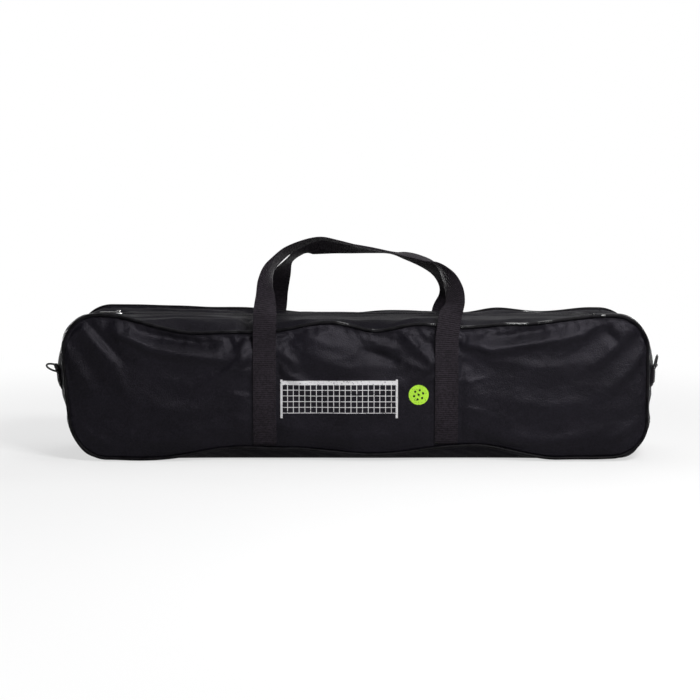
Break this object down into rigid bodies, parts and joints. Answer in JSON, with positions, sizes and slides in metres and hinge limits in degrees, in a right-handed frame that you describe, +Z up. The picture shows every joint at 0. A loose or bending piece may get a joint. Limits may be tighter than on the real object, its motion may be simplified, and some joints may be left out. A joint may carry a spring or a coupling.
{
  "type": "portable court net",
  "caption": "Long black zipped carry bag with webbing handles, packed with a take-apart steel tube net frame and its tied-up net.",
  "frame": {"origin": "middle of the base, on the surface that the bag stands on", "axes": "+X along the bag, towards the open end of its zip; +Y from the front panel to the back panel; +Z up"},
  "size_m": [1.0295, 0.2232, 0.3709],
  "materials": {
    "bag_cloth": "coated black weave, low sheen",
    "webbing": "ribbed black webbing",
    "piping": "glossy black vinyl cord",
    "zip_tape": "black woven tape",
    "zip_teeth": "black moulded teeth",
    "zip_metal": "bright nickel plate",
    "ring_wire": "black plated wire",
    "tube_paint": "black powder coat",
    "black_plastic": "moulded, satin",
    "rubber_caps": "matt",
    "net_cord": "knotted black netting, rolled",
    "tie_strap": "black hook-and-loop strap"
  },
  "bodies": {
    "bag": {"front_panel": "bag_cloth", "back_panel": "bag_cloth", "base_gusset": "bag_cloth", "left_end_gusset": "bag_cloth", "right_end_gusset": "bag_cloth", "top_front_strip": "bag_cloth", "top_back_strip": "bag_cloth", "left_zip_tab": "bag_cloth", "right_zip_tab": "bag_cloth", "front_piping": "piping", "back_piping": "piping", "front_left_strap": "webbing", "front_right_strap": "webbing", "back_left_strap": "webbing", "back_right_strap": "webbing", "zip_stop": "zip_metal", "left_ring_tab": "webbing", "right_ring_tab": "webbing", "crossbar_1": "tube_paint", "crossbar_2": "tube_paint", "crossbar_3": "tube_paint", "crossbar_4": "tube_paint", "crossbar_5": "tube_paint", "crossbar_6": "tube_paint", "crossbar_7": "tube_paint", "crossbar_8": "tube_paint", "left_post": "tube_paint", "right_post": "tube_paint", "centre_post": "tube_paint", "post_caps": "black_plastic", "net_fork": "black_plastic", "left_front_leg": "tube_paint", "left_back_leg": "tube_paint", "right_front_leg": "tube_paint", "right_back_leg": "tube_paint", "centre_front_leg": "tube_paint", "centre_back_leg": "tube_paint", "leg_caps": "rubber_caps", "left_base_tee": "tube_paint", "right_base_tee": "tube_paint", "centre_base_tee": "tube_paint", "net_bundle": "net_cord", "net_tie_left": "tie_strap", "net_tie_right": "tie_strap"},
    "front_handle": {"front_handle": "webbing"},
    "back_handle": {"back_handle": "webbing"},
    "front_flap": {"top_front_flap": "bag_cloth", "zip_front_tape": "zip_tape", "zip_front_teeth": "zip_teeth"},
    "back_flap": {"top_back_flap": "bag_cloth", "zip_back_tape": "zip_tape", "zip_back_teeth": "zip_teeth"},
    "zip_slider": {"zip_slider": "zip_metal"},
    "zip_puller": {"zip_puller": "zip_metal"},
    "left_d_ring": {"left_d_ring": "ring_wire"},
    "right_d_ring": {"right_d_ring": "ring_wire"}
  },
  "joints": [
    {"name": "zip_slide", "type": "slide", "parent": "bag", "child": "zip_slider", "axis": [1, 0, 0], "range_m": [0, 0.798], "deforming": ["zip_front_tape", "zip_back_tape", "zip_front_teeth", "zip_back_teeth"]},
    {"name": "puller_lift", "type": "hinge", "parent": "zip_slider", "child": "zip_puller", "pos_m": [-0.4042, 0, 0.2404], "axis": [0, 1, 0], "range_deg": [0, 150]},
    {"name": "front_flap_open", "type": "hinge", "parent": "bag", "child": "front_flap", "pos_m": [0, -0.06, 0.233], "axis": [1, 0, 0], "range_deg": [0, 76]},
    {"name": "back_flap_open", "type": "hinge", "parent": "bag", "child": "back_flap", "pos_m": [0, 0.06, 0.233], "axis": [-1, 0, 0], "range_deg": [0, 76]},
    {"name": "front_handle_fold", "type": "hinge", "parent": "bag", "child": "front_handle", "pos_m": [0, -0.10661, 0.205], "axis": [1, 0, 0], "range_deg": [0, 165]},
    {"name": "back_handle_fold", "type": "hinge", "parent": "bag", "child": "back_handle", "pos_m": [0, 0.10661, 0.205], "axis": [-1, 0, 0], "range_deg": [0, 165]},
    {"name": "left_ring_swing", "type": "hinge", "parent": "bag", "child": "left_d_ring", "pos_m": [-0.50105, -0.045, 0.15], "axis": [-0.2922, 0.9058, 0.3067], "range_deg": [-91, 70]},
    {"name": "right_ring_swing", "type": "hinge", "parent": "bag", "child": "right_d_ring", "pos_m": [0.50277, -0.045, 0.154], "axis": [-0.2694, -0.963, 0], "range_deg": [-154, 7]}
  ],
  "couplings": [
    {"joint": "front_flap_open", "follows": "zip_slide", "rad_per_m": 1.662},
    {"joint": "back_flap_open", "follows": "zip_slide", "rad_per_m": 1.662}
  ]
}
